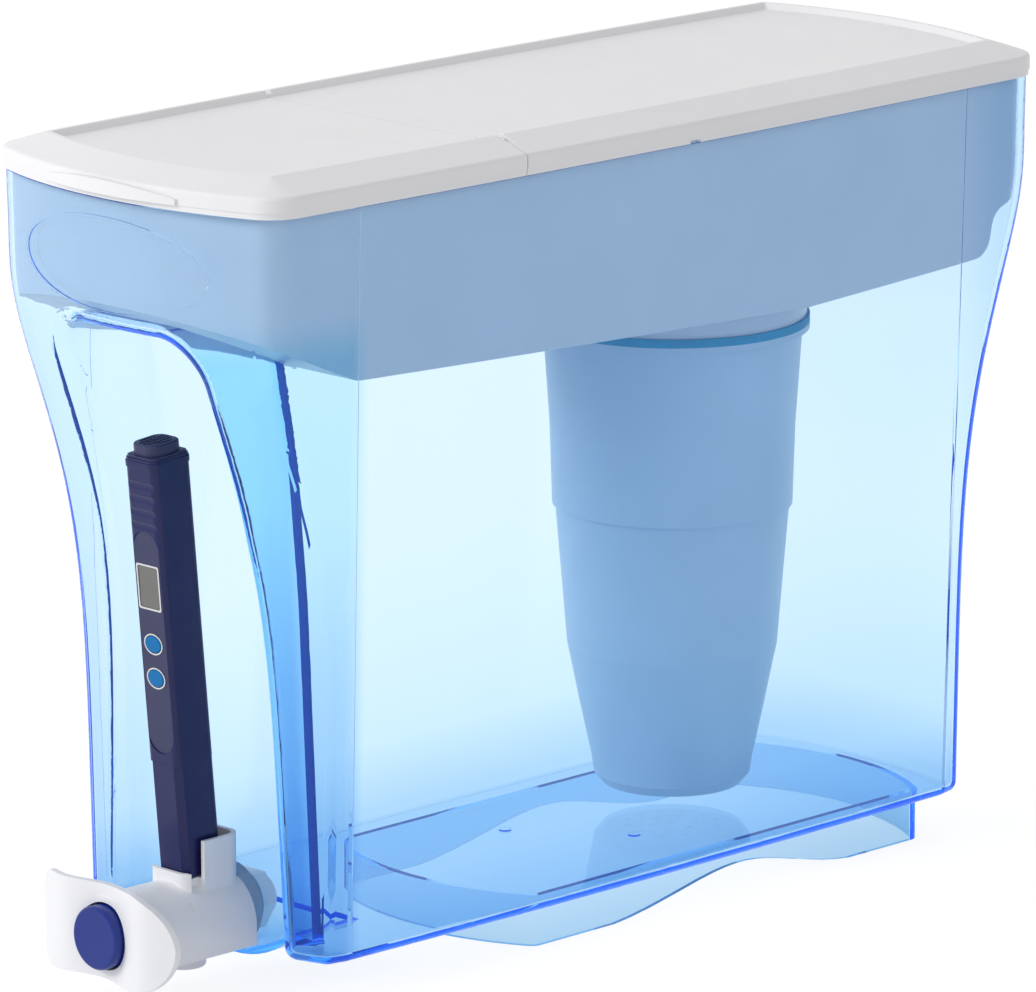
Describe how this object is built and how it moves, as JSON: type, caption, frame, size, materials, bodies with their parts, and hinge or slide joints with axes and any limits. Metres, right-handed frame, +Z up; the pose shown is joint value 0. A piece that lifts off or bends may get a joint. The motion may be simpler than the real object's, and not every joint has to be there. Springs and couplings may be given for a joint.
{
  "type": "gravity water filter with tap",
  "caption": "Slim clear countertop water tank with upper reservoir, hanging filter cartridge, two-piece lid, push tap and a pen meter in a holder.",
  "frame": {"origin": "on the ground plane, under the middle of the whole object's length and width", "axes": "+Z up, +Y from the tap towards the rear, +X across, to the right seen from the tap"},
  "size_m": [0.142, 0.3962, 0.283],
  "materials": {
    "clear_blue": "clear gloss",
    "powder_blue": "satin",
    "lid_white": "gloss",
    "tap_white": "gloss",
    "filter_blue": "satin",
    "teal_rubber": "matt",
    "grey_rubber": "matt",
    "carbon": "granular",
    "resin": "granular",
    "foam": "open-cell foam",
    "mesh": "woven mesh",
    "navy_plastic": "gloss",
    "slate_plastic": "satin",
    "key_blue": "gloss",
    "silver": "bright",
    "display_grey": "smooth",
    "steel": "bright",
    "board_green": "satin"
  },
  "bodies": {
    "base": {"tank": "clear_blue", "tap_body": "tap_white", "outlet_nozzle": "tap_white", "finger_plate": "tap_white", "tank_seal_outer": "grey_rubber", "tank_seal_inner": "grey_rubber", "tap_nut": "tap_white", "stem_seal": "grey_rubber", "valve_spring": "steel"},
    "reservoir_unit": {"reservoir": "powder_blue"},
    "rear_lid_unit": {"rear_lid": "lid_white", "hinge_pins": "steel"},
    "flap_unit": {"fill_flap": "lid_white"},
    "gasket_unit": {"filter_gasket": "teal_rubber"},
    "filter_unit": {"filter_sleeve": "filter_blue", "filter_shell": "filter_blue", "filter_inlet_cap": "filter_blue", "coarse_screen": "mesh", "foam_distributor": "foam", "carbon_bed": "carbon", "resin_bed": "resin", "fine_membrane": "mesh"},
    "button_unit": {"tap_button": "navy_plastic", "valve_stem": "steel", "valve_seal": "grey_rubber"},
    "probe_cap_unit": {"probe_cap": "navy_plastic"},
    "meter_unit": {"meter_body": "navy_plastic", "meter_face_panel": "slate_plastic", "display_frame": "silver", "meter_display": "display_grey", "button_rings": "silver", "probe_neck": "slate_plastic", "probe_pins": "steel", "circuit_board": "board_green", "button_cells": "steel"},
    "battery_cap_unit": {"battery_cap": "slate_plastic"},
    "power_key_unit": {"meter_power_button": "key_blue"},
    "hold_key_unit": {"meter_hold_button": "key_blue"}
  },
  "joints": [
    {"name": "reservoir_lift", "type": "slide", "parent": "base", "child": "reservoir_unit", "axis": [0, 0, 1], "range_m": [0, 0.25]},
    {"name": "rear_lid_lift", "type": "slide", "parent": "reservoir_unit", "child": "rear_lid_unit", "axis": [0, 0, 1], "range_m": [0, 0.06]},
    {"name": "flap_hinge", "type": "hinge", "parent": "rear_lid_unit", "child": "flap_unit", "pos_m": [0, -0.0669, 0.281], "axis": [-1, 0, 0], "range_deg": [0, 90]},
    {"name": "filter_drop", "type": "slide", "parent": "reservoir_unit", "child": "gasket_unit", "axis": [0, 0, -1], "range_m": [0, 0.004]},
    {"name": "filter_turn", "type": "hinge", "parent": "gasket_unit", "child": "filter_unit", "pos_m": [0, 0.0723, 0.1915], "axis": [0, 0, 1], "range_deg": [0, 360]},
    {"name": "tap_press", "type": "slide", "parent": "base", "child": "button_unit", "axis": [0, 1, 0], "range_m": [0, 0.004], "stiffness_N_per_m": 500, "springref_m": -0.003, "deforming": ["valve_spring"]},
    {"name": "meter_lift", "type": "slide", "parent": "base", "child": "probe_cap_unit", "axis": [0, -0.0872, 0.9962], "range_m": [0, 0.008]},
    {"name": "probe_cap_pull", "type": "slide", "parent": "probe_cap_unit", "child": "meter_unit", "axis": [0, -0.0872, 0.9962], "range_m": [0, 0.02]},
    {"name": "battery_cap_pull", "type": "slide", "parent": "meter_unit", "child": "battery_cap_unit", "axis": [0, -0.0872, 0.9962], "range_m": [0, 0.005]},
    {"name": "power_key_press", "type": "slide", "parent": "meter_unit", "child": "power_key_unit", "axis": [0, 0.9962, 0.0872], "range_m": [0, 0.0004], "stiffness_N_per_m": 400, "springref_m": -0.0006},
    {"name": "hold_key_press", "type": "slide", "parent": "meter_unit", "child": "hold_key_unit", "axis": [0, 0.9962, 0.0872], "range_m": [0, 0.0004], "stiffness_N_per_m": 400, "springref_m": -0.0006}
  ],
  "couplings": [
    {"joint": "filter_drop", "follows": "filter_turn", "m_per_rad": 0.00063662}
  ]
}
